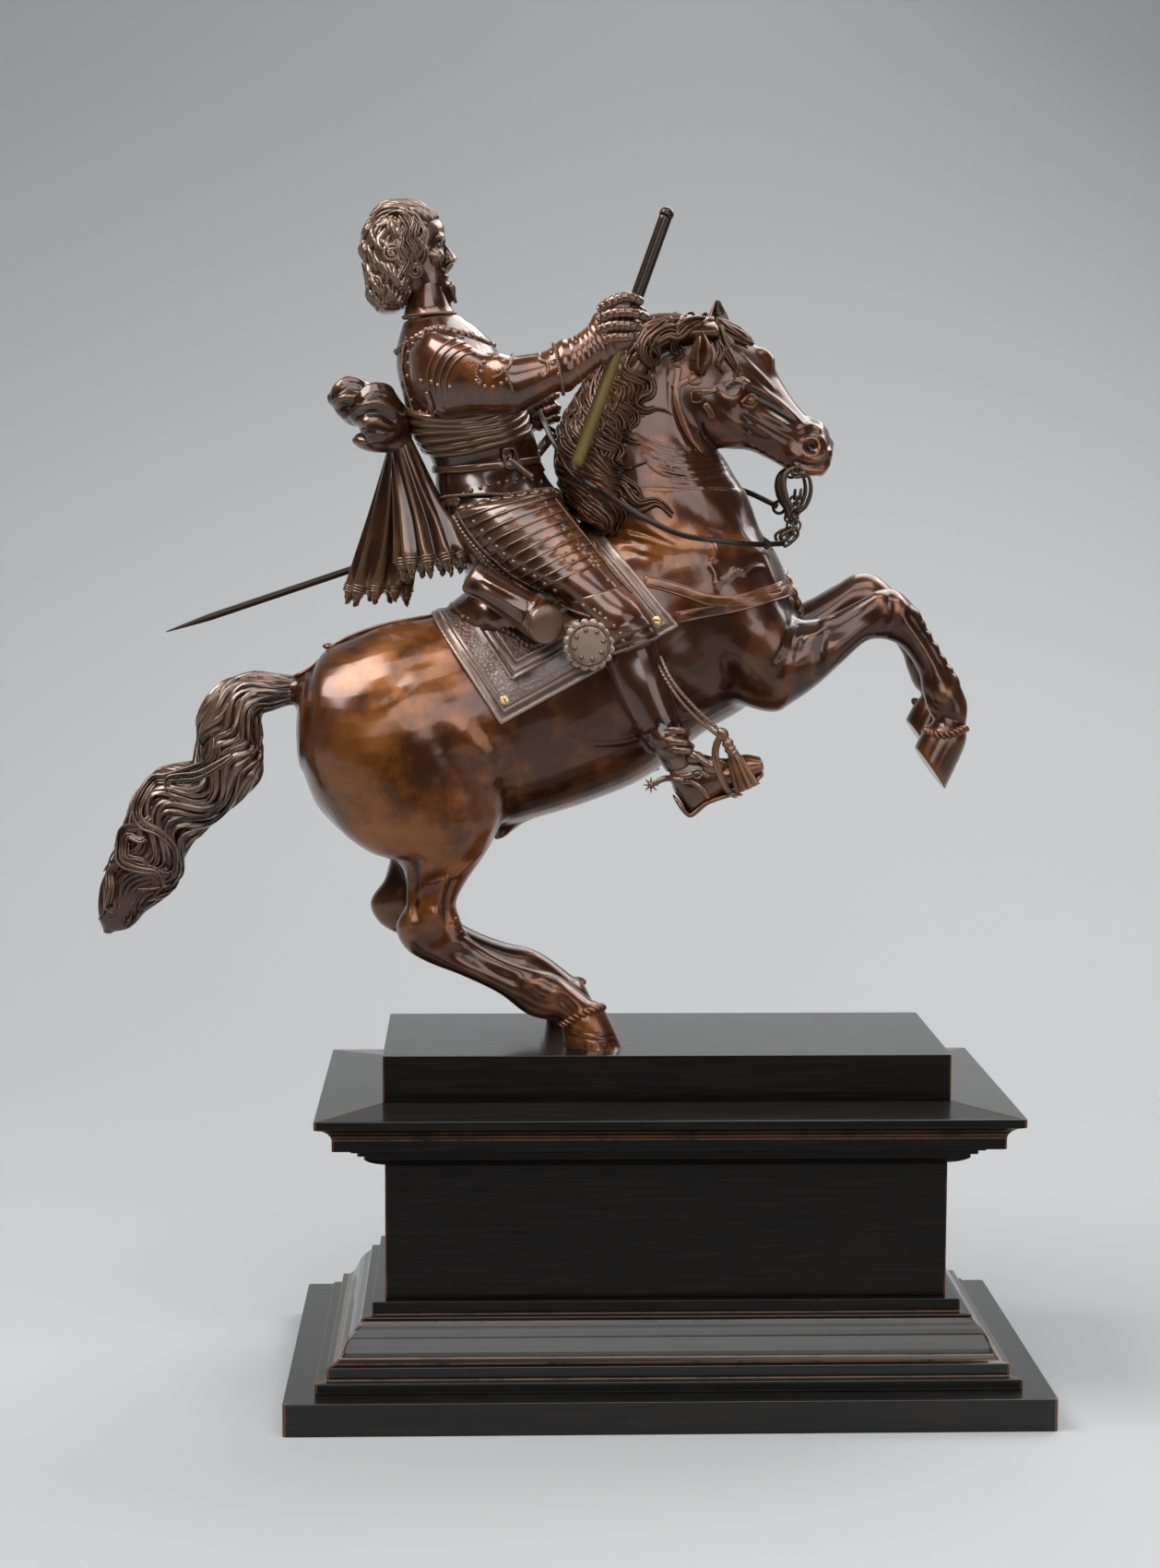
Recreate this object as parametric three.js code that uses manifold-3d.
// A bronze rearing horse and armoured rider on a stepped plinth of ebonised wood.
// Millimetres, +Z up. The horse faces +X and the rider's baton arm is on the -Y side.
// The origin is the centre of the plinth's underside.

import * as THREE from 'three';
import { mergeVertices } from 'three/addons/utils/BufferGeometryUtils.js';
import Module from 'manifold-3d';

const wasm = await Module();
wasm.setup();

// Driving sizes
const FIGURE_HEIGHT = 390;
const CASTING_GAP = 0.3;

const DIE_LENGTH = 257.5;
const DIE_DEPTH = 104.8;
const DIE_HEIGHT = 62.4;
const BASE_BOARD_REACH = 44.3;
const BASE_BOARD_HEIGHT = 14.9;
const BASE_STEP_REACH = 30.7;
const BASE_STEP_HEIGHT = 4.9;
const BASE_PLINTH_REACH = 25.7;
const BASE_PLINTH_HEIGHT = 5.6;
const BASE_OGEE_HEIGHT = 18.8;
const BASE_FILLET_REACH = 5.9;
const BASE_FILLET_HEIGHT = 5.8;
const CORNICE_COVE_REACH = 9.1;
const CORNICE_COVE_HEIGHT = 4.2;
const CORNICE_STEP_REACH = 3;
const CORNICE_STEP_HEIGHT = 2.3;
const CORNICE_STEPS = 3;
const CORNICE_FILLET_REACH = 23;
const CORNICE_FILLET_HEIGHT = 5.6;
const CORNICE_FASCIA_REACH = 30.6;
const CORNICE_CAVETTO_HEIGHT = 6;
const CORNICE_FASCIA_HEIGHT = 3.9;
const CORNICE_SLOPE_HEIGHT = 2.6;
const TOP_BLOCK_REACH = 0.9;
const TOP_BLOCK_HEIGHT = 21;

const CLOTH_THICKNESS = 3.2;
const STRAP_WIDTH = 3.4;
const STRAP_RELIEF = 1.3;
const REIN_WIDTH = 2.4;
const REIN_THICKNESS = 1;
const BATON_RADIUS = 2.9;
const BATON_BALL_RADIUS = 3.3;
const BLADE_WIDTH = 3.6;
const BLADE_THICKNESS = 1.6;
const BIT_WIRE_RADIUS = 1.1;
const STIRRUP_BAR_RADIUS = 1.1;
const STIRRUP_CORD_RADIUS = 0.75;
const SCREW_HEAD_RADIUS = 2.3;
const SCREW_HEAD_HEIGHT = 1.3;
const SCREW_SHANK_RADIUS = 1.1;
const SCREW_LENGTH = 7;
const SCREW_SIDES = 6;
const ROPE_EDGE_RADIUS = 1.25;
const LAME_LIFT = 0.9;
const THIGH_LAMES = 5;
const ARM_LAMES = 6;

const PLINTH_HEIGHT = BASE_BOARD_HEIGHT + BASE_STEP_HEIGHT + BASE_PLINTH_HEIGHT
  + BASE_OGEE_HEIGHT + BASE_FILLET_HEIGHT + DIE_HEIGHT + CORNICE_COVE_HEIGHT
  + CORNICE_STEPS * CORNICE_STEP_HEIGHT + CORNICE_FILLET_HEIGHT + CORNICE_CAVETTO_HEIGHT
  + CORNICE_FASCIA_HEIGHT + CORNICE_SLOPE_HEIGHT + TOP_BLOCK_HEIGHT;

// The side view that the figure's outline is read in. A point there is x to the right and y
// down, in units of the view, and its depth is in millimetres from the figure's middle plane.
const VIEW = {
  eye: new THREE.Vector3(-83.8, -1310.8, 414.7),
  turn: 0.0344,
  dip: 0.1014,
  roll: 0.0036,
  focal: 3049.8,
  middle: [629, 850],
  figureHeight: 390,
  standing: new THREE.Vector3(0, 0, 162.65),
};
const FIGURE_SCALE = FIGURE_HEIGHT / VIEW.figureHeight;
const STANDING = new THREE.Vector3(0, 0, PLINTH_HEIGHT);

function viewAxes() {
  const { turn, dip, roll } = VIEW;
  const ahead = new THREE.Vector3(
    Math.sin(turn) * Math.cos(dip), Math.cos(turn) * Math.cos(dip), -Math.sin(dip));
  const level = new THREE.Vector3(Math.cos(turn), -Math.sin(turn), 0);
  const raised = level.clone().cross(ahead);
  const right = level.clone().multiplyScalar(Math.cos(roll))
    .addScaledVector(raised, Math.sin(roll));
  const up = raised.clone().multiplyScalar(Math.cos(roll))
    .addScaledVector(level, -Math.sin(roll));
  return { ahead, right, up };
}
const AXES = viewAxes();

// The point of the figure that shows at (x, y) in the view, at a depth from the middle plane
function at(x, y, depth) {
  const ray = AXES.ahead.clone()
    .addScaledVector(AXES.right, (x - VIEW.middle[0]) / VIEW.focal)
    .addScaledVector(AXES.up, -(y - VIEW.middle[1]) / VIEW.focal);
  const reach = (depth - VIEW.eye.y) / ray.y;
  const point = VIEW.eye.clone().addScaledVector(ray, reach);
  return point.sub(VIEW.standing).multiplyScalar(FIGURE_SCALE).add(STANDING);
}

// Where a point of the figure shows in the view
function seen(point) {
  const nominal = point.clone().sub(STANDING).divideScalar(FIGURE_SCALE).add(VIEW.standing);
  const offset = nominal.sub(VIEW.eye);
  const depth = offset.dot(AXES.ahead);
  return [
    VIEW.middle[0] + VIEW.focal * offset.dot(AXES.right) / depth,
    VIEW.middle[1] - VIEW.focal * offset.dot(AXES.up) / depth,
  ];
}

// A station is [x1, y1, x2, y2, depth, half, lean]: two opposite outline points in the view,
// the depth of the section's middle, half its thickness, and the share of a full lean that
// tips its far side forward and up.
function frames(stations, fullLean = [0, 0]) {
  return stations.map(([x1, y1, x2, y2, depth, half, share = 1]) => {
    const lean = fullLean.map((tip) => tip * share);
    const one = at(x1, y1, depth);
    const two = at(x2, y2, depth);
    const thick = half * FIGURE_SCALE;
    return {
      c: one.clone().add(two).multiplyScalar(0.5),
      u: one.clone().sub(two).multiplyScalar(0.5),
      v: new THREE.Vector3(lean[0], 1, lean[1]).multiplyScalar(thick),
    };
  });
}

// The same limb on the far side, with each section moved by its own [back to front, up]
function mirrored(list, shifts = []) {
  return list.map(({ c, u, v }, i) => {
    const [dx, dz] = (shifts[i] ?? [0, 0]).map((d) => d * FIGURE_SCALE);
    return {
      c: new THREE.Vector3(c.x + dx, -c.y, c.z + dz),
      u: new THREE.Vector3(u.x, -u.y, u.z),
      v: new THREE.Vector3(v.x, -v.y, v.z),
    };
  });
}

function between(points, t) {
  const i = Math.min(Math.max(Math.floor(t), 0), points.length - 2);
  const f = t - i;
  const [a, b, c, d] = [-1, 0, 1, 2].map(
    (k) => points[Math.min(Math.max(i + k, 0), points.length - 1)]);
  const bend = (p, q, r, s) => 0.5 * ((2 * q) + (r - p) * f
    + (2 * p - 5 * q + 4 * r - s) * f * f + (3 * q - p - 3 * r + s) * f * f * f);
  return new THREE.Vector3(bend(a.x, b.x, c.x, d.x), bend(a.y, b.y, c.y, d.y),
    bend(a.z, b.z, c.z, d.z));
}

function frameAt(list, t) {
  return {
    c: between(list.map((f) => f.c), t),
    u: between(list.map((f) => f.u), t),
    v: between(list.map((f) => f.v), t),
  };
}

// Rings of equal count joined side by side, each end closed to a tip
function joined(rings, tips) {
  const sides = rings[0].length;
  const points = [...rings.flat(), ...tips];
  const tris = [];
  rings.slice(1).forEach((_, r) => {
    for (let k = 0; k < sides; k += 1) {
      const [a, b] = [r * sides + k, r * sides + (k + 1) % sides];
      tris.push(a, b, a + sides, b, b + sides, a + sides);
    }
  });
  const last = (rings.length - 1) * sides;
  for (let k = 0; k < sides && tips.length; k += 1) {
    const next = (k + 1) % sides;
    tris.push(next, k, rings.length * sides);
    tris.push(last + k, last + next, rings.length * sides + 1);
  }
  return closedSolid(points, tris);
}

function closedSolid(points, tris) {
  let volume = 0;
  for (let i = 0; i < tris.length; i += 3) {
    const [a, b, c] = [points[tris[i]], points[tris[i + 1]], points[tris[i + 2]]];
    volume += a.dot(b.clone().cross(c));
  }
  if (volume < 0) tris.reverse();
  return new wasm.Manifold(new wasm.Mesh({
    numProp: 3,
    vertProperties: new Float32Array(points.flatMap((p) => [p.x, p.y, p.z])),
    triVerts: new Uint32Array(tris),
  }));
}

function ringOf({ c, u, v }, sides, swell = 0, lobe = null) {
  const [ul, vl] = [u.length(), v.length()];
  return Array.from({ length: sides }, (_, k) => {
    const angle = k * 2 * Math.PI / sides;
    const ripple = lobe ? 1 + lobe(angle) : 1;
    return c.clone()
      .addScaledVector(u, Math.cos(angle) * ripple * (1 + swell / ul))
      .addScaledVector(v, Math.sin(angle) * ripple * (1 + swell / vl));
  });
}

// A limb through its stations. Each end is a dome as high as a share of its section.
function limb(list, { sides = 10, steps = 1, grow = 0, domes = [0.5, 0.5], lobe = null,
  lames = 0, lameLift = 0 } = {}) {
  const span = list.length - 1;
  const marks = [];
  if (lames) {
    for (let i = 0; i < lames; i += 1) {
      marks.push([i * span / lames, lameLift], [(i + 0.97) * span / lames, 0]);
    }
  } else {
    for (let i = 0; i <= span * steps; i += 1) marks.push([i / steps, 0]);
  }
  const cut = marks.map(([t, lift]) => ({ t, frame: frameAt(list, t), lift }));
  const rings = cut.map(({ t, frame, lift }) => ringOf(frame, sides, grow + lift * FIGURE_SCALE,
    lobe ? (angle) => lobe(angle, t) : null));
  const dome = (end, inner, share) => {
    const away = end.c.clone().sub(inner.c).normalize();
    const size = Math.min(end.u.length(), end.v.length()) * share + grow;
    const ring = ringOf({
      c: end.c.clone().addScaledVector(away, size * 0.7),
      u: end.u.clone().multiplyScalar(0.7),
      v: end.v.clone().multiplyScalar(0.7),
    }, sides, grow * 0.7);
    return { ring, tip: end.c.clone().addScaledVector(away, size) };
  };
  const first = dome(cut[0].frame, cut[1].frame, domes[0]);
  const final = dome(cut.at(-1).frame, cut.at(-2).frame, domes[1]);
  if (domes[0]) rings.unshift(first.ring);
  if (domes[1]) rings.push(final.ring);
  return joined(rings, [
    domes[0] ? first.tip : cut[0].frame.c.clone().addScaledVector(
      cut[0].frame.c.clone().sub(cut[1].frame.c).normalize(), grow),
    domes[1] ? final.tip : cut.at(-1).frame.c.clone().addScaledVector(
      cut.at(-1).frame.c.clone().sub(cut.at(-2).frame.c).normalize(), grow),
  ]);
}

// A bar along a path: its half width lies across the path, its half thickness towards facing
function bar(path, { width, thick = width, sides = 6, steps = 1, grow = 0, taper = () => 1,
  facing = new THREE.Vector3(0, 1, 0), square = false } = {}) {
  const span = path.length - 1;
  const count = span * steps;
  const rings = [];
  for (let i = 0; i <= count; i += 1) {
    const t = i / steps;
    const c = between(path, t);
    const along = between(path, Math.min(t + 0.05, span))
      .sub(between(path, Math.max(t - 0.05, 0))).normalize();
    const across = facing.clone().cross(along).normalize();
    const out = along.clone().cross(across);
    const share = taper(t / span);
    const size = [width * share + grow, thick * share + grow];
    if (i === 0) c.addScaledVector(along, -grow);
    if (i === count) c.addScaledVector(along, grow);
    rings.push(Array.from({ length: square ? 4 : sides }, (_, k) => {
      const angle = square ? (k + 0.5) * Math.PI / 2 : k * 2 * Math.PI / sides;
      const corner = square ? Math.SQRT2 : 1;
      return c.clone().addScaledVector(across, Math.cos(angle) * corner * size[0])
        .addScaledVector(out, Math.sin(angle) * corner * size[1]);
    }));
  }
  return joined(rings, [average(rings[0]), average(rings.at(-1))]);
}

function average(points) {
  return points.reduce((sum, p) => sum.add(p), new THREE.Vector3())
    .divideScalar(points.length);
}

// A closed hoop through points, round in section
function hoop(points, radius, { sides = 3, grow = 0 } = {}) {
  const centre = average(points);
  const count = points.length;
  const verts = points.flatMap((p, i) => {
    const along = points[(i + 1) % count].clone().sub(points[(i + count - 1) % count])
      .normalize();
    const out = p.clone().sub(centre);
    out.addScaledVector(along, -out.dot(along)).normalize();
    const side = along.clone().cross(out);
    return Array.from({ length: sides }, (_, k) => {
      const angle = k * 2 * Math.PI / sides;
      return p.clone().addScaledVector(out, Math.cos(angle) * (radius + grow))
        .addScaledVector(side, Math.sin(angle) * (radius + grow));
    });
  });
  const tris = [];
  for (let i = 0; i < count; i += 1) {
    for (let k = 0; k < sides; k += 1) {
      const [a, b] = [i * sides + k, i * sides + (k + 1) % sides];
      const [c, d] = [((i + 1) % count) * sides + k, ((i + 1) % count) * sides + (k + 1) % sides];
      tris.push(a, b, c, b, d, c);
    }
  }
  return closedSolid(verts, tris);
}

function fromGeometry(geometry) {
  const bare = geometry.clone();
  bare.deleteAttribute('normal');
  bare.deleteAttribute('uv');
  const merged = mergeVertices(bare, 1e-4);
  return new wasm.Manifold(new wasm.Mesh({
    numProp: 3,
    vertProperties: merged.attributes.position.array,
    triVerts: new Uint32Array(merged.index.array),
  }));
}

function ball(centre, size, grow = 0, detail = [6, 4]) {
  const geometry = new THREE.SphereGeometry(1, ...detail);
  geometry.scale(...size.map((s) => s * FIGURE_SCALE + grow));
  geometry.translate(centre.x, centre.y, centre.z);
  return fromGeometry(geometry);
}

// One cast body: the limbs joined, without the sealed pockets that are left between them
function join(solids) {
  return cast(solids.reduce((sum, solid) => sum.add(solid)));
}

function cast(solid) {
  return solid.decompose().reduce((most, piece) => (
    piece.volume() > most.volume() ? piece : most));
}

// A closed mesh from a solid, with flat faces
function geometryOf(solid) {
  const mesh = solid.getMesh();
  const geometry = new THREE.BufferGeometry();
  geometry.setAttribute('position', new THREE.BufferAttribute(mesh.vertProperties, 3));
  geometry.setIndex(new THREE.BufferAttribute(mesh.triVerts, 1));
  return geometry;
}

// Depth of a form's skin on the near side, where it shows at (x, y) in the view
function skinOf(list, sides = 32, steps = 6) {
  const found = [];
  for (let i = 0; i <= (list.length - 1) * steps; i += 1) {
    const frame = frameAt(list, i / steps);
    ringOf(frame, sides).filter((p) => p.y <= frame.c.y + 0.5)
      .forEach((p) => found.push([...seen(p), p.y]));
  }
  return found;
}

function onSkin(skin, x, y, lift = 0) {
  const near = skin.map(([px, py, depth]) => [(px - x) ** 2 + (py - y) ** 2, depth])
    .sort((a, b) => a[0] - b[0]).slice(0, 3);
  const weight = near.map(([d]) => 1 / (d + 0.5));
  const total = weight.reduce((sum, w) => sum + w);
  const depth = near.reduce((sum, [, y0], i) => sum + y0 * weight[i], 0) / total;
  return at(x, y, depth / FIGURE_SCALE - lift);
}

const flip = (points) => points.map((p) => new THREE.Vector3(p.x, -p.y, p.z));
const route = (points) => points.map(([x, y, depth]) => at(x, y, depth));

// Plinth: square frames of timber, each a stack of rectangles that reach beyond the die
function timber(levels) {
  const corner = [[-1, -1], [1, -1], [1, 1], [-1, 1]];
  const rings = levels.map(([reach, z]) => corner.map(([sx, sy]) => new THREE.Vector3(
    sx * (DIE_LENGTH / 2 + reach), sy * (DIE_DEPTH / 2 + reach), z)));
  return joined(rings, [new THREE.Vector3(0, 0, levels[0][1]),
    new THREE.Vector3(0, 0, levels.at(-1)[1])]);
}

function quarter(from, to, hollow, count = 3) {
  return Array.from({ length: count + 1 }, (_, i) => {
    const angle = i / count * Math.PI / 2;
    const [a, b] = hollow ? [1 - Math.cos(angle), Math.sin(angle)]
      : [Math.sin(angle), 1 - Math.cos(angle)];
    return [from[0] + (to[0] - from[0]) * a, from[1] + (to[1] - from[1]) * b];
  });
}

function plinthPieces() {
  const boardTop = BASE_BOARD_HEIGHT;
  const stepTop = boardTop + BASE_STEP_HEIGHT;
  const lowTop = stepTop + BASE_PLINTH_HEIGHT;
  const ogeeTop = lowTop + BASE_OGEE_HEIGHT;
  const ogeeMiddle = [(BASE_PLINTH_REACH + BASE_FILLET_REACH) / 2 + 2, lowTop
    + BASE_OGEE_HEIGHT * 0.36];
  const baseTop = ogeeTop + BASE_FILLET_HEIGHT;
  const dieTop = baseTop + DIE_HEIGHT;
  const coveTop = dieTop + CORNICE_COVE_HEIGHT;
  const steps = Array.from({ length: CORNICE_STEPS }, (_, i) => {
    const reach = CORNICE_COVE_REACH + i * CORNICE_STEP_REACH;
    const z = coveTop + i * CORNICE_STEP_HEIGHT;
    return [[reach, z], [reach, z + CORNICE_STEP_HEIGHT]];
  }).flat();
  const stepsTop = coveTop + CORNICE_STEPS * CORNICE_STEP_HEIGHT;
  const filletTop = stepsTop + CORNICE_FILLET_HEIGHT;
  const cavettoTop = filletTop + CORNICE_CAVETTO_HEIGHT;
  const fasciaTop = cavettoTop + CORNICE_FASCIA_HEIGHT;
  const slopeTop = fasciaTop + CORNICE_SLOPE_HEIGHT;
  return {
    plinth_base_board: timber([[BASE_BOARD_REACH, 0], [BASE_BOARD_REACH, boardTop]]),
    plinth_base_moulding: timber([
      [BASE_STEP_REACH, boardTop], [BASE_STEP_REACH, stepTop],
      [BASE_PLINTH_REACH, stepTop], [BASE_PLINTH_REACH, lowTop],
      ...quarter([BASE_PLINTH_REACH, lowTop], ogeeMiddle, false).slice(1),
      ...quarter(ogeeMiddle, [BASE_FILLET_REACH + 4, ogeeTop], true).slice(1),
      [BASE_FILLET_REACH, ogeeTop], [BASE_FILLET_REACH, baseTop],
    ]),
    plinth_die: timber([[0, baseTop], [0, dieTop]]),
    plinth_cornice: timber([
      ...quarter([0, dieTop], [CORNICE_COVE_REACH, coveTop], true),
      ...steps,
      [CORNICE_FILLET_REACH, stepsTop], [CORNICE_FILLET_REACH, filletTop],
      ...quarter([CORNICE_FILLET_REACH, filletTop], [CORNICE_FASCIA_REACH, cavettoTop], true)
        .slice(1),
      [CORNICE_FASCIA_REACH, fasciaTop], [TOP_BLOCK_REACH, slopeTop],
    ]),
    plinth_top_block: timber([[TOP_BLOCK_REACH, slopeTop], [TOP_BLOCK_REACH, PLINTH_HEIGHT]]),
  };
}

// Horse
const TORSO = [
  [338, 728, 330, 838, 0, 30], [352, 706, 350, 880, 0, 40], [382, 691, 398, 919, 0, 47],
  [422, 676, 452, 926, 0, 49], [468, 668, 512, 905, 0, 47], [518, 652, 582, 886, 0, 43],
  [568, 626, 640, 868, 0, 43], [612, 592, 700, 842, 0, 43], [650, 562, 760, 796, 0, 42],
  [700, 546, 806, 768, 0, 40], [752, 552, 846, 734, 0, 36], [796, 572, 860, 704, 0, 29],
];
const NECK_AND_HEAD = [
  [670, 640, 856, 650, 0, 38, 0], [650, 585, 840, 603, 0, 35, 0], [634, 545, 826, 582, 0, 31, 0],
  [632, 490, 808, 535, 0, 26, 0], [644, 450, 796, 515, 0, 22, 0.1], [662, 415, 785, 496, 0, 19, 0.2],
  [692, 372, 776, 486, 0, 17, 0.4], [732, 350, 772, 482, 0, 16.5, 0.7],
  [772, 352, 770, 482, 0, 17, 1], [796, 362, 779, 484, 0, 17.5, 1],
  [816, 374, 792, 484, 0, 17, 1], [833, 390, 812, 486, 0, 14.5, 1],
  [846, 413, 830, 494, 0, 12, 1], [862, 438, 846, 503, 0, 10, 1],
  [878, 456, 858, 510, 0, 10.5, 1], [892, 462, 874, 514, 0, 11, 1],
  [901, 480, 888, 514, 0, 9, 1],
];
const HEAD_LEAN = [0.2, 0.45];
const NEAR_HIND_LEG = [
  [350, 770, 500, 760, -16, 28], [345, 838, 546, 830, -19, 29], [366, 894, 548, 878, -21, 26],
  [398, 922, 538, 906, -23, 21], [430, 934, 522, 932, -25, 15], [440, 952, 506, 955, -27, 12],
  [441, 978, 495, 978, -28, 10.5], [430, 1005, 499, 996, -28, 11],
  [440, 1028, 507, 1014, -28, 9.5], [464, 1043, 522, 1027, -28, 8],
  [500, 1057, 546, 1040, -29, 7.5], [540, 1076, 573, 1050, -29, 7.5],
  [568, 1097, 598, 1055, -29, 8.5], [586, 1104, 618, 1066, -30, 8.5],
  [606, 1106, 640, 1083, -30, 9], [609, 1114, 655, 1093, -30, 11],
  [613, 1142, 676, 1136, -30, 13],
];
const FAR_HIND_SHIFT = [
  [0, 0], [0, 0], [0, 0], [-2, 0], [-6, 1], [-9, 2], [-12, 3], [-14, 3.5], [-14, 3.5],
  [-13, 3.5], [-12, 3], [-11, 2.5], [-9, 2], [-8, 1.5], [-7, 1], [-7, 0.5], [-7, 0],
];
const NEAR_FORELEG = [
  [800, 610, 770, 740, -18, 20], [835, 640, 800, 762, -21, 20], [862, 668, 838, 772, -23, 17],
  [884, 671, 860, 761, -24, 14.5], [906, 664, 884, 744, -24, 13], [930, 652, 912, 719, -24, 11.5],
  [952, 640, 938, 696, -24, 10], [972, 640, 958, 693, -24, 10.5], [990, 656, 974, 699, -24, 9.5],
  [1006, 684, 985, 710, -24, 8], [1022, 711, 997, 730, -24, 7], [1038, 737, 1000, 748, -24, 8.5],
  [1049, 764, 1006, 769, -24, 8.5], [1047, 786, 1012, 781, -24, 8.5],
  [1046, 808, 1003, 790, -24, 11], [1024, 856, 992, 810, -24, 12.5],
];
const FAR_FORELEG_SHIFT = [
  [0, 0], [0, 0], [-2, 2], [-4, 4], [-4, 5], [-4, 5.5], [-4, 5.8], [-4, 5.8], [-3, 6],
  [-2, 6.5], [-1, 7], [0, 7.5], [1, 8], [2, 8.5], [3, 9], [3, 9],
];
const SHEATH = [[548, 868, 590, 872, 0, 11], [536, 896, 570, 889, 0, 8], [536, 908, 554, 902, 0, 6]];
const NEAR_EAR = [[742, 400, 775, 392, -15, 6], [747, 381, 771, 378, -18, 5],
  [754, 366, 765, 367, -20, 2.2]];
const FAR_EAR = [[766, 362, 796, 368, 10, 6], [770, 345, 791, 352, 11, 4.5],
  [774, 330, 785, 333, 11, 2]];
const FORELOCK = [
  [[776, 352], [792, 357], [806, 362], [816, 374]],
  [[772, 356], [788, 376], [797, 400], [790, 418]],
];
const MANE = [
  [771, 346, 780, 374, 2, 15], [740, 344, 746, 380, 0, 18], [706, 345, 718, 392, 0, 19],
  [676, 366, 706, 426, 0, 20], [648, 398, 694, 456, 0, 22], [626, 432, 690, 484, 0, 25],
  [608, 462, 690, 506, 0, 28], [605, 500, 684, 532, 0, 31], [611, 530, 690, 556, 0, 34],
  [624, 556, 672, 582, 0, 35],
];
const LOCK_TIPS = [
  [[704, 428], [698, 442], [714, 444], [731, 455]],
  [[672, 500], [688, 506], [704, 503]],
  [[676, 540], [704, 548], [716, 548], [730, 561]],
];
const BREAST_STRAPS = [
  [[700, 622], [740, 635], [780, 644], [846, 624]],
  [[735, 676], [768, 668], [800, 658], [858, 644]],
];
const CRUPPER = [[318, 742], [336, 720], [366, 698], [410, 678], [462, 667]];
const TAIL = [
  [[314, 734], [314, 763]], [[298, 730], [297, 768]], [[272, 729], [282, 776]],
  [[240, 740], [283, 800]], [[216, 768], [285, 822]], [[214, 800], [280, 848]],
  [[206, 828], [252, 876]], [[178, 832], [224, 900]], [[150, 852], [205, 922]],
  [[132, 890], [199, 950]], [[122, 922], [184, 972]], [[108, 958], [160, 990]],
  [[106, 990], [142, 1006]], [[112, 1008], [124, 1010]],
].map(([[x1, y1], [x2, y2]]) => [x1, y1, x2, y2]);
const TAIL_HALF = [6, 8, 10, 12, 13, 13, 13, 14, 15, 14, 12, 10, 7, 3];

// Faces around the barrel, which the cloth on it shares
const TORSO_SIDES = 16;
const torso = frames(TORSO);
const neckAndHead = frames(NECK_AND_HEAD, HEAD_LEAN);
const nearHind = frames(NEAR_HIND_LEG);
const nearFore = frames(NEAR_FORELEG);
const horseSkin = [...skinOf(torso), ...skinOf(neckAndHead),
  ...skinOf(nearHind.slice(0, 6)), ...skinOf(nearFore.slice(0, 5))];

function lockOf(points, grow) {
  return bar(points, { width: 3.4 * FIGURE_SCALE, thick: 2.8 * FIGURE_SCALE, sides: 5, grow,
    taper: (s) => 0.3 + 0.7 * Math.sin(Math.PI * (0.28 + 0.7 * s)) });
}

function horse(grow) {
  const leg = { sides: 8, grow, domes: [0.3, 0] };
  const solids = [
    limb(torso, { sides: TORSO_SIDES, grow, domes: [0.25, 0.35] }),
    limb(neckAndHead, { sides: 10, grow, domes: [0, 0.45] }),
    limb(nearHind, leg),
    limb(mirrored(nearHind, FAR_HIND_SHIFT), leg),
    limb(nearFore, leg),
    limb(mirrored(nearFore, FAR_FORELEG_SHIFT), leg),
    limb(frames(SHEATH), { sides: 6, grow, domes: [0, 0.5] }),
    limb(frames(NEAR_EAR), { sides: 5, grow, domes: [0, 1] }),
    limb(frames(FAR_EAR), { sides: 5, grow, domes: [0, 1] }),
    ball(at(881, 484, -9), [4.4, 2.4, 4.4], grow),
    ball(at(814, 434, -14), [4.4, 2.6, 3.4], grow),
    ball(at(803, 424, -14), [6, 2.6, 2.6], grow),
  ];
  const waves = (angle, t) => 0.07 * Math.cos(5 * angle + 2.6 * t) + 0.04 * Math.cos(3.1 * t);
  solids.push(limb(frames(MANE), { sides: 10, grow, domes: [0.3, 0.3], lobe: waves }));
  LOCK_TIPS.forEach((points, i) => {
    const near = points.map(([x, y]) => onSkin(horseSkin, x, y, 1));
    solids.push(lockOf(near, grow));
    if (i % 2 === 0) solids.push(lockOf(flip(near), grow));
  });
  FORELOCK.forEach((points) => {
    solids.push(lockOf(points.map(([x, y]) => onSkin(horseSkin, x, y, 0.2)), grow));
  });
  const band = { width: STRAP_WIDTH / 2, thick: STRAP_RELIEF, square: true, grow };
  BREAST_STRAPS.forEach((points) => {
    const near = points.map(([x, y]) => onSkin(horseSkin, x, y, 0.5));
    solids.push(bar(near, band), bar(flip(near), band));
  });
  solids.push(bar(route(CRUPPER.map(([x, y]) => [x, y, 0])),
    { ...band, facing: new THREE.Vector3(1, 0, 2) }));
  return trimmedAtPlinth(join(solids));
}

// Everything of the figure ends at the top of the plinth
function trimmedAtPlinth(solid) {
  const depth = TOP_BLOCK_HEIGHT;
  const below = new THREE.BoxGeometry(DIE_LENGTH * 2, DIE_DEPTH * 4, depth);
  below.translate(0, 0, PLINTH_HEIGHT - depth / 2);
  return solid.subtract(fromGeometry(below));
}

// Tail: twisted locks of hair, cast apart and set into the dock
function tail(grow) {
  const list = frames(TAIL.map((pair, i) => [...pair, 0, TAIL_HALF[i]]));
  return limb(list, { sides: 10, grow, domes: [0.2, 0.8],
    lobe: (angle, t) => 0.03 + 0.1 * Math.cos(5 * angle + t * 0.9) * Math.min(1, t / 3) });
}

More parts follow.
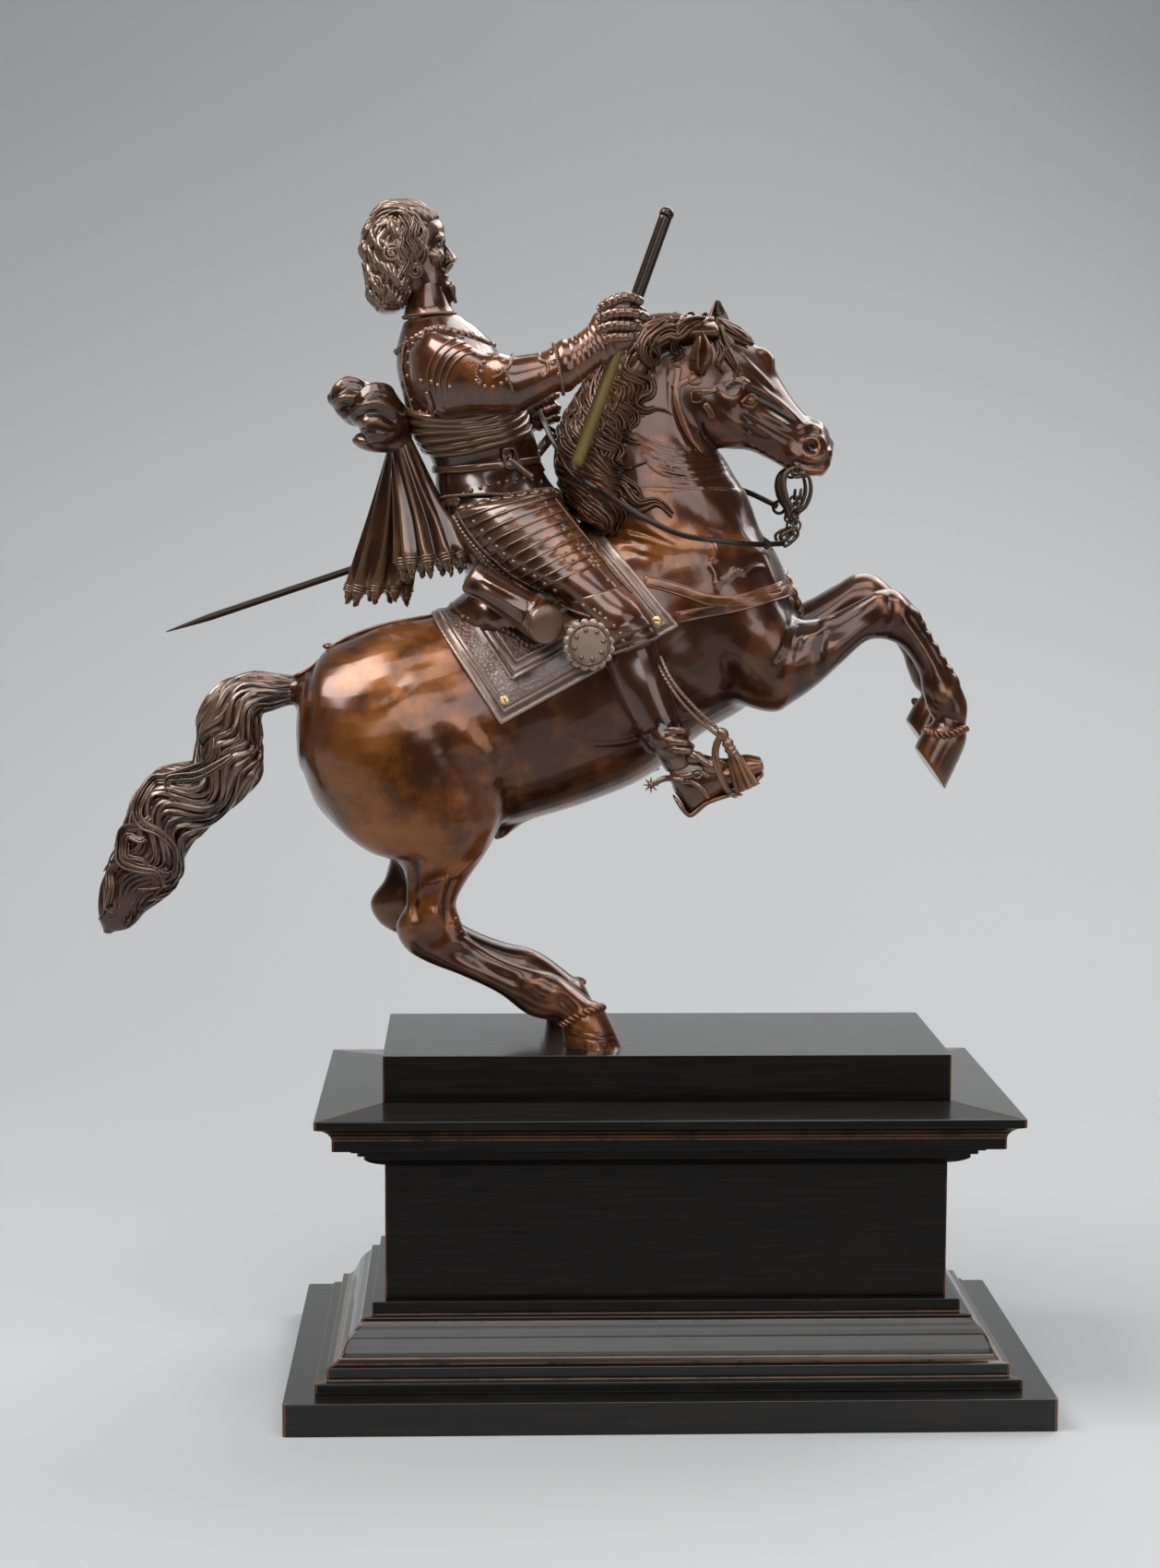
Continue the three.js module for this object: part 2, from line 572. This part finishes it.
// Saddle: the cloth lies on the horse's back, the seat and the rolled holsters on the cloth
const CLOTH_OUTLINE = [[460, 660], [543, 786], [737, 679], [618, 534]];
const SEAT = [
  [474, 652, 500, 706, 0, 22], [500, 638, 535, 714, 0, 33], [545, 608, 590, 708, 0, 41],
  [586, 574, 640, 684, 0, 43], [604, 556, 662, 658, 0, 36],
];
const HOLSTER = [[528, 612, 510, 646, -43, 8], [562, 634, 546, 670, -47, 9],
  [598, 656, 580, 696, -50, 9.5]];

function prism(points, depth) {
  const near = points.map(([x, y]) => at(x, y, -depth));
  const far = points.map(([x, y]) => at(x, y, -depth).setY(depth * FIGURE_SCALE));
  return joined([near, far], [average(near), average(far)]);
}

function saddle(grow) {
  const lift = CASTING_GAP + CLOTH_THICKNESS;
  const over = limb(torso, { sides: TORSO_SIDES, grow: lift + grow, domes: [0, 0] });
  const cloth = over.intersect(prism(CLOTH_OUTLINE, 70));
  const near = frames(HOLSTER);
  return join([
    cloth,
    limb(frames(SEAT), { sides: 10, grow, domes: [0.2, 0.2] }),
    limb(near, { sides: 8, grow, domes: [0.3, 0] }),
    limb(mirrored(near), { sides: 8, grow, domes: [0.3, 0] }),
  ]);
}

// Rider
const CHEST = [
  [438, 352, 500, 344, 0, 14], [433, 372, 524, 364, 0, 25], [430, 396, 542, 388, 0, 32],
  [436, 426, 558, 418, 0, 32], [446, 458, 568, 449, 0, 29], [460, 484, 578, 476, 0, 25],
  [471, 508, 584, 499, 0, 22], [473, 530, 595, 520, 0, 26], [480, 552, 606, 534, 0, 32],
];
const HIPS = [[486, 578, 622, 556, 0, 38], [500, 615, 640, 590, 0, 38],
  [530, 650, 650, 620, 0, 32]];
const RIDER_NECK = [[446, 300, 480, 300, 0, 10], [442, 332, 490, 328, 0, 10.5]];
const NEAR_ARM = [
  [450, 376, 462, 440, -24, 12], [468, 362, 484, 452, -30, 14], [498, 368, 512, 450, -36, 14],
  [522, 381, 540, 450, -41, 13], [548, 386, 566, 446, -44, 12.5], [572, 384, 584, 437, -45, 11.5],
  [592, 380, 602, 426, -45, 11], [606, 371, 616, 424, -45, 11], [622, 366, 634, 410, -45, 9.5],
  [638, 354, 656, 392, -45, 8.5],
];
const NEAR_FIST = [[636, 358, 656, 396, -45, 8], [646, 340, 670, 386, -45, 8],
  [664, 326, 684, 376, -45, 7], [680, 326, 692, 366, -45, 5]];
const NEAR_FINGERS = [
  [[654, 338, -50], [676, 324, -53], [697, 326, -50]],
  [[650, 350, -51], [678, 340, -54], [702, 343, -50]],
  [[648, 360, -51], [672, 353, -54], [694, 354, -50]],
  [[654, 370, -50], [672, 367, -53], [691, 369, -50]],
];
const FAR_ARM = [
  [448, 376, 468, 440, 24, 12], [462, 380, 500, 448, 31, 14], [490, 405, 522, 455, 37, 13],
  [516, 430, 540, 476, 39, 12], [544, 436, 556, 480, 34, 11], [566, 432, 574, 470, 27, 9.5],
  [584, 430, 590, 462, 20, 8],
];
const FAR_FINGERS = [
  [[580, 446, 12], [592, 434, 9], [606, 428, 12]],
  [[580, 458, 12], [594, 450, 9], [608, 445, 12]],
];
const NEAR_THIGH = [
  [604, 534, 492, 556, -20, 20], [622, 562, 518, 590, -29, 19], [648, 598, 556, 624, -36, 18],
  [672, 628, 598, 646, -41, 16], [692, 652, 630, 670, -44, 14.5],
];
const NEAR_SHANK = [
  [676, 634, 612, 654, -43, 15], [696, 656, 636, 678, -45, 15], [712, 684, 652, 704, -47, 12.5],
  [712, 702, 656, 722, -48, 11], [722, 732, 666, 750, -49, 11.5],
  [734, 766, 682, 780, -50, 10], [745, 796, 700, 802, -51, 8.5], [756, 824, 722, 836, -51, 8],
];
const NEAR_FOOT = [
  [728, 822, 734, 862, -51, 7], [744, 812, 750, 882, -51, 8.5], [764, 818, 770, 868, -52, 9],
  [786, 822, 790, 857, -52, 9.5], [808, 818, 806, 850, -52, 9], [822, 820, 826, 838, -52, 7],
];
// The far foot is carried further back than the near one
const FAR_LEG_SHIFT = {
  thigh: [[0, 0], [-2, 0], [-4, 0], [-7, 0], [-10, 0]],
  shank: [[-8, 0], [-10, 0], [-12, 0], [-15, 0.5], [-20, 1], [-25, 2], [-29, 2.5], [-32, 3]],
  foot: Array(6).fill([-32, 3]),
};
const SASH_HANG = [
  [[416, 486], [446, 472], 6], [[410, 540], [470, 528], 10], [[394, 596], [496, 576], 14],
  [[378, 642], [512, 612], 16], [[384, 652], [506, 630], 15],
];
const SASH_LOOPS = [
  [[436, 470, -2], [400, 452, -6], [372, 440, -6], [366, 424, -4], [388, 418, -2], [424, 448, 0]],
  [[438, 468, -8], [404, 458, -13], [392, 440, -14], [404, 424, -13], [430, 434, -9], [442, 452, -4]],
  [[424, 476, -6], [400, 478, -9], [390, 474, -9]],
];
const HAIR = [
  [430, 222, 452, 224, 0, 6], [408, 232, 462, 238, 0, 13], [395, 252, 458, 258, 0, 16.5],
  [391, 272, 452, 278, 0, 18], [397, 296, 452, 300, 0, 18.5], [398, 318, 448, 316, 0, 17.5],
  [408, 336, 438, 332, 0, 13],
];

// The head is of the usual proportions of a grown head, in shares of its height from chin to
// crown: [height, back, front, half width]
const HEAD_HEIGHT = 39;
const HEAD_TILT = -0.12;
const HEAD_AXIS = [453, 311];
const HEAD_SECTIONS = [
  [0.0, 0.02, 0.3, 0.09], [0.07, -0.08, 0.39, 0.17], [0.17, -0.2, 0.385, 0.23],
  [0.28, -0.3, 0.41, 0.27], [0.4, -0.4, 0.4, 0.31], [0.5, -0.43, 0.37, 0.33],
  [0.58, -0.45, 0.405, 0.335], [0.74, -0.46, 0.375, 0.34], [0.92, -0.32, 0.18, 0.24],
];
const NOSE = [[0.57, 0.37, 0.05], [0.46, 0.43, 0.06], [0.36, 0.49, 0.085], [0.32, 0.45, 0.09]];
const GOATEE = [[0.16, 0.37, 0.07], [0.05, 0.43, 0.08], [-0.04, 0.45, 0.045]];

function headPoint(height, ahead, aside = 0) {
  const base = at(...HEAD_AXIS, 0);
  const size = HEAD_HEIGHT * FIGURE_SCALE;
  const [c, s] = [Math.cos(HEAD_TILT), Math.sin(HEAD_TILT)];
  return new THREE.Vector3(base.x + size * (ahead * c + height * s), aside * size,
    base.z + size * (height * c - ahead * s));
}

function headFrame(height, back, front, half) {
  const [one, two] = [headPoint(height, back), headPoint(height, front)];
  return {
    c: one.clone().add(two).multiplyScalar(0.5),
    u: one.clone().sub(two).multiplyScalar(0.5),
    v: new THREE.Vector3(0, half * HEAD_HEIGHT * FIGURE_SCALE, 0),
  };
}

function riderHead(grow) {
  const skull = HEAD_SECTIONS.map((row) => headFrame(...row));
  const ridge = (rows, depth) => rows.map(([height, front, half]) => headFrame(
    height, front - depth, front, half));
  const wave = (angle, t) => 0.06 * Math.cos(4 * angle + 2.1 * t)
    + 0.03 * Math.sin(4 * t + 3 * angle);
  return [
    limb(skull, { sides: 8, grow, domes: [0.2, 0.25] }),
    limb(ridge(NOSE, 0.14), { sides: 5, grow, domes: [0.1, 0.3] }),
    limb(ridge(GOATEE, 0.12), { sides: 5, grow, domes: [0, 0.8] }),
    limb(frames(HAIR), { sides: 8, grow, domes: [0.4, 0.4], lobe: wave }),
  ];
}

// A closed round of points about a body part, lower or higher behind and at the sides
function round(list, behind, before, sag, lift) {
  const count = 10;
  return Array.from({ length: count }, (_, i) => {
    const angle = i * 2 * Math.PI / count;
    const t = before + (behind - before) * (1 + Math.cos(angle)) / 2
      + sag * Math.abs(Math.sin(angle));
    const { c, u, v } = frameAt(list, t);
    return c.clone().addScaledVector(u, Math.cos(angle) * (1 + lift / u.length()))
      .addScaledVector(v, Math.sin(angle) * (1 + lift / v.length()));
  });
}

function sash(grow, chest) {
  const folds = [0, 0.6].map((drop) => hoop(
    round(chest, 3.9 + drop, 3.8 + drop * 0.5, 0.5, 0.9), 2.6 * FIGURE_SCALE, { grow }));
  const hang = SASH_HANG.map(([left, right, half]) => frames([[...left, ...right, 0, half]])[0]);
  const pleats = (angle, t) => 0.1 * Math.cos(5 * angle) * Math.min(1, t);
  const loops = SASH_LOOPS.map((points) => bar(route(points), { width: 6.4 * FIGURE_SCALE,
    thick: 5 * FIGURE_SCALE, sides: 4, grow,
    taper: (s) => 0.5 + 0.5 * Math.sin(Math.PI * s) }));
  return [...folds, limb(hang, { sides: 10, grow, domes: [0.4, 0.1], lobe: pleats }), ...loops];
}

function legOf(thigh, shank, foot, grow) {
  const disc = new THREE.CylinderGeometry(12 * FIGURE_SCALE + grow, 12 * FIGURE_SCALE + grow,
    2.4 * FIGURE_SCALE + 2 * grow, 12);
  const scallop = disc.attributes.position;
  for (let i = 0; i < scallop.count; i += 1) {
    const angle = Math.atan2(scallop.getX(i), scallop.getZ(i));
    const share = 1 + 0.05 * Math.cos(6 * angle);
    scallop.setX(i, scallop.getX(i) * share);
    scallop.setZ(i, scallop.getZ(i) * share);
  }
  const side = Math.sign(shank[1].c.y);
  const hub = shank[1].c.clone().add(at(640, 697, -58).sub(at(666, 667, -45)));
  hub.setY(side * 58.5 * FIGURE_SCALE);
  disc.translate(hub.x, hub.y, hub.z);
  return [
    limb(thigh, { sides: 8, grow, domes: [0.2, 0.2], lames: THIGH_LAMES, lameLift: LAME_LIFT }),
    limb(shank, { sides: 8, grow, domes: [0.2, 0.2] }),
    limb(foot, { sides: 8, grow, domes: [0.3, 0.4] }),
    fromGeometry(disc),
  ];
}

function rider(grow) {
  const chest = frames(CHEST);
  const legs = [NEAR_THIGH, NEAR_SHANK, NEAR_FOOT].map((list) => frames(list));
  const shifts = Object.values(FAR_LEG_SHIFT);
  const farLegs = legs.map((list, i) => mirrored(list, shifts[i]));
  const finger = (points, reach) => bar(route(points), { width: reach * FIGURE_SCALE, sides: 4,
    grow, taper: (s) => 1 - 0.25 * s });
  const spurs = [legs, farLegs].flatMap(([, , foot]) => {
    const heel = foot[0].c.clone();
    const [neckEnd, wheel] = [[-5, 0, 0], [-13, 0, -2]].map(
      (step) => heel.clone().addScaledVector(new THREE.Vector3(...step), FIGURE_SCALE));
    return [bar([heel, neckEnd, wheel], { width: 1.2 * FIGURE_SCALE, grow, sides: 4 }),
      ball(wheel, [3.4, 1, 3.4], grow)];
  });
  return join([
    limb(frames([...RIDER_NECK, ...CHEST, ...HIPS]), { sides: 10, grow, domes: [0, 0.2] }),
    ...riderHead(grow),
    limb(frames(NEAR_ARM), { sides: 8, grow, domes: [0.3, 0.2], lames: ARM_LAMES,
      lameLift: LAME_LIFT * 0.6 }),
    limb(frames(NEAR_FIST), { sides: 7, grow, domes: [0.2, 0.3] }),
    ...NEAR_FINGERS.map((points) => finger(points, 2.3)),
    limb(frames(FAR_ARM), { sides: 8, grow, domes: [0.3, 0.5] }),
    ...FAR_FINGERS.map((points) => finger(points, 2.2)),
    ball(at(594, 446, 14), [6.5, 6.5, 7], grow),
    hoop(round(chest, 7.9, 7.9, 0, 0.6), ROPE_EDGE_RADIUS * FIGURE_SCALE, { grow }),
    ...sash(grow, chest),
    ...legOf(...legs, grow),
    ...legOf(...farLegs, grow),
    ...spurs,
  ]);
}

// Baton and sword
const BATON_TOP = [722.9, 232.1, -46];
const BATON_FOOT = [624.8, 505, -46];
function baton(grow) {
  const path = route([BATON_TOP, BATON_FOOT]);
  return join([
    bar(path, { width: BATON_RADIUS, sides: 10, grow }),
    ball(path[0], [BATON_BALL_RADIUS, BATON_BALL_RADIUS, BATON_BALL_RADIUS], grow, [8, 6]),
  ]);
}

const SWORD = { tip: [180, 685, 34], guard: [552, 560, 52], pommel: [606, 542, 54] };
function sword(grow) {
  const [tip, guard, pommel] = route([SWORD.tip, SWORD.guard, SWORD.pommel]);
  const cross = [[545, 540, 56], [558, 584, 56]];
  return join([
    bar([tip, guard], { width: BLADE_WIDTH / 2, thick: BLADE_THICKNESS / 2, sides: 4, grow,
      steps: 3, taper: (s) => Math.min(1, 0.25 + s * 6) }),
    bar([guard, pommel], { width: 1.9 * FIGURE_SCALE, sides: 6, grow }),
    bar(route([cross[0], SWORD.guard, cross[1]]), { width: 1.3 * FIGURE_SCALE, sides: 5, grow }),
    ball(pommel, [3.2, 3.2, 3.2], grow, [6, 4]),
  ]);
}

// Curb bit: two shanks, the mouthpiece between them, a rein ring and a short chain
const SHANK = [[846, 508], [848, 528], [856, 545], [861, 562], [866, 545], [874, 524]];
function curbBit(grow) {
  const wire = { width: BIT_WIRE_RADIUS, sides: 4, grow };
  const shank = route(SHANK.map(([x, y]) => [x, y, -11]));
  const ring = (x, y, depth, reach) => hoop(Array.from({ length: 6 }, (_, i) => {
    const angle = i * Math.PI / 3;
    return at(x, y, depth).add(new THREE.Vector3(Math.cos(angle), 0, Math.sin(angle))
      .multiplyScalar(reach * FIGURE_SCALE));
  }), BIT_WIRE_RADIUS * 0.8, { grow });
  return join([
    bar(shank, wire), bar(flip(shank), wire),
    bar(route([[848, 510, -12], [848, 510, 12]]), { ...wire, facing: new THREE.Vector3(1, 0, 0) }),
    bar(route([[861, 562, -12], [861, 562, 12]]), { ...wire, facing: new THREE.Vector3(1, 0, 0) }),
    ring(860, 577, -11, 7), ring(860, 577, 11, 7),
  ]);
}

const NEAR_REIN = [
  [585, 446, 4], [592, 462, 0], [602, 482, -8], [620, 508, -24], [640, 525, -33], [660, 538, -38],
  [700, 562, -43], [740, 580, -45], [780, 586, -42], [820, 590, -32], [850, 589, -17],
];
const FAR_REIN = [
  [588, 460, 20], [604, 470, 26], [622, 486, 34], [660, 500, 38], [700, 512, 40], [760, 522, 38],
  [806, 532, 32], [843, 549, 17],
];
function rein(points, grow) {
  return bar(route(points), { width: REIN_WIDTH / 2, thick: REIN_THICKNESS / 2, square: true,
    grow, steps: 2 });
}

// Stirrup: the iron under the foot, its two cords and the tassel on the instep
function stirrup(grow, side) {
  const back = new THREE.Vector3(...[FAR_LEG_SHIFT.foot[0][0], 0, FAR_LEG_SHIFT.foot[0][1]]);
  const swing = (p) => p.addScaledVector(back, FIGURE_SCALE * Math.min(1,
    Math.max(0, (at(716, 712, 54).z - p.z) / (at(716, 712, 54).z - at(784, 795, 54).z))));
  const place = (points) => (side < 0 ? route(points) : flip(route(points)).map(swing));
  const iron = { width: STIRRUP_BAR_RADIUS, sides: 4, grow };
  const cord = { width: STIRRUP_CORD_RADIUS, sides: 4, grow };
  return join([
    bar(place([[716, 712, -54], [730, 740, -62], [756, 770, -64], [784, 795, -64]]), cord),
    bar(place([[714, 722, -54], [732, 752, -62], [754, 777, -64], [778, 797, -64]]), cord),
    bar(place([[782, 796, -64], [788, 806, -64], [794, 816, -64], [811, 854, -63]]), {
      width: 2.6 * FIGURE_SCALE, thick: 2 * FIGURE_SCALE, sides: 6, grow,
      taper: (s) => 0.8 + Math.max(0, s - 0.5) * 2.4 }),
    bar(place([[783, 796, -64], [776, 822, -64], [784, 852, -63], [796, 862, -58],
      [798, 862, -46], [788, 856, -41]]), iron),
  ]);
}

// Four slotted screws hold the cloth
const SCREWS = [[547, 759], [712, 673]];
function screw(place, grow) {
  const outward = place.clone().sub(nearestAxis(place)).normalize();
  const turn = new THREE.Quaternion().setFromUnitVectors(new THREE.Vector3(0, 1, 0), outward);
  const profile = [
    [0, -SCREW_LENGTH - grow], [SCREW_SHANK_RADIUS + grow, -SCREW_LENGTH - grow],
    [SCREW_SHANK_RADIUS + grow, -grow], [SCREW_HEAD_RADIUS + grow, -grow],
    [SCREW_HEAD_RADIUS * 0.7 + grow, SCREW_HEAD_HEIGHT + grow],
    [0, SCREW_HEAD_HEIGHT + grow],
  ];
  const turned = new THREE.LatheGeometry(
    profile.map(([r, h]) => new THREE.Vector2(r, h)), SCREW_SIDES);
  turned.applyQuaternion(turn);
  const seat = place.clone().addScaledVector(outward, CLOTH_THICKNESS + 2 * CASTING_GAP);
  turned.translate(seat.x, seat.y, seat.z);
  return fromGeometry(turned);
}

function nearestAxis(point) {
  let best = torso[0].c;
  for (let i = 0; i <= (torso.length - 1) * 4; i += 1) {
    const { c } = frameAt(torso, i / 4);
    if (c.distanceTo(point) < best.distanceTo(point)) best = c;
  }
  return best;
}

// Colours of the pieces
const FINISHES = {
  bronze: { color: '#5a2f1c', roughness: 0.3, metalness: 0.9 },
  armour: { color: '#4b3327', roughness: 0.36, metalness: 0.9 },
  brass: { color: '#6d6030', roughness: 0.4, metalness: 0.9 },
  screwBrass: { color: '#c79a45', roughness: 0.25, metalness: 1 },
  blackened: { color: '#2a231f', roughness: 0.4, metalness: 0.9 },
  ebonised: { color: '#17120f', roughness: 0.35, metalness: 0 },
};
const material = Object.fromEntries(Object.entries(FINISHES).map(
  ([name, look]) => [name, new THREE.MeshStandardMaterial(look)]));

// Each casting is cut by the ones that it touches, grown by the gap between castings
const gap = CASTING_GAP;
const nearScrews = SCREWS.map(([x, y]) => onSkin(horseSkin, x, y));
const screwPlaces = [...nearScrews, ...flip(nearScrews)];
const screwRooms = screwPlaces.map((place) => screw(place, gap));
const clearOf = (solid, rooms) => cast(rooms.reduce((rest, room) => rest.subtract(room), solid));
const whole = {
  curb_bit: curbBit(0),
  baton: baton(0),
  sword: sword(0),
  ...Object.fromEntries(screwPlaces.map(
    (place, i) => [`saddlecloth_screw_${i + 1}`, screw(place, 0)])),
};
whole.horse = clearOf(horse(0), [curbBit(gap), ...screwRooms]);
const horseRoom = horse(gap);
whole.horse_tail = clearOf(tail(0), [horseRoom]);
whole.saddle = clearOf(saddle(0), [horseRoom, ...screwRooms]);
const saddleRoom = saddle(gap);
whole.rider = clearOf(rider(0), [saddleRoom, horseRoom, baton(gap), sword(gap)]);
const riderRoom = rider(gap);
const clear = (solid) => clearOf(solid, [riderRoom, saddleRoom, horseRoom, curbBit(gap)]);
whole.rein_near = clear(rein(NEAR_REIN, 0));
whole.rein_far = clear(rein(FAR_REIN, 0));
whole.stirrup_near = clear(stirrup(0, -1));
whole.stirrup_far = clear(stirrup(0, 1));

const LOOK_OF = {
  ...Object.fromEntries(screwPlaces.map(
    (_, i) => [`saddlecloth_screw_${i + 1}`, material.screwBrass])),
  horse: material.bronze, horse_tail: material.bronze, rider: material.armour,
  saddle: material.armour, baton: material.brass, sword: material.blackened,
  curb_bit: material.blackened, rein_near: material.blackened, rein_far: material.blackened,
  stirrup_near: material.armour, stirrup_far: material.armour,
};

const statuette = new THREE.Group();
function add(name, solid, look) {
  const mesh = new THREE.Mesh(geometryOf(solid), look);
  mesh.name = name;
  statuette.add(mesh);
}
Object.entries(plinthPieces()).forEach(([name, solid]) => add(name, solid, material.ebonised));
Object.entries(whole).forEach(([name, solid]) => add(name, solid, LOOK_OF[name]));

export default statuette;
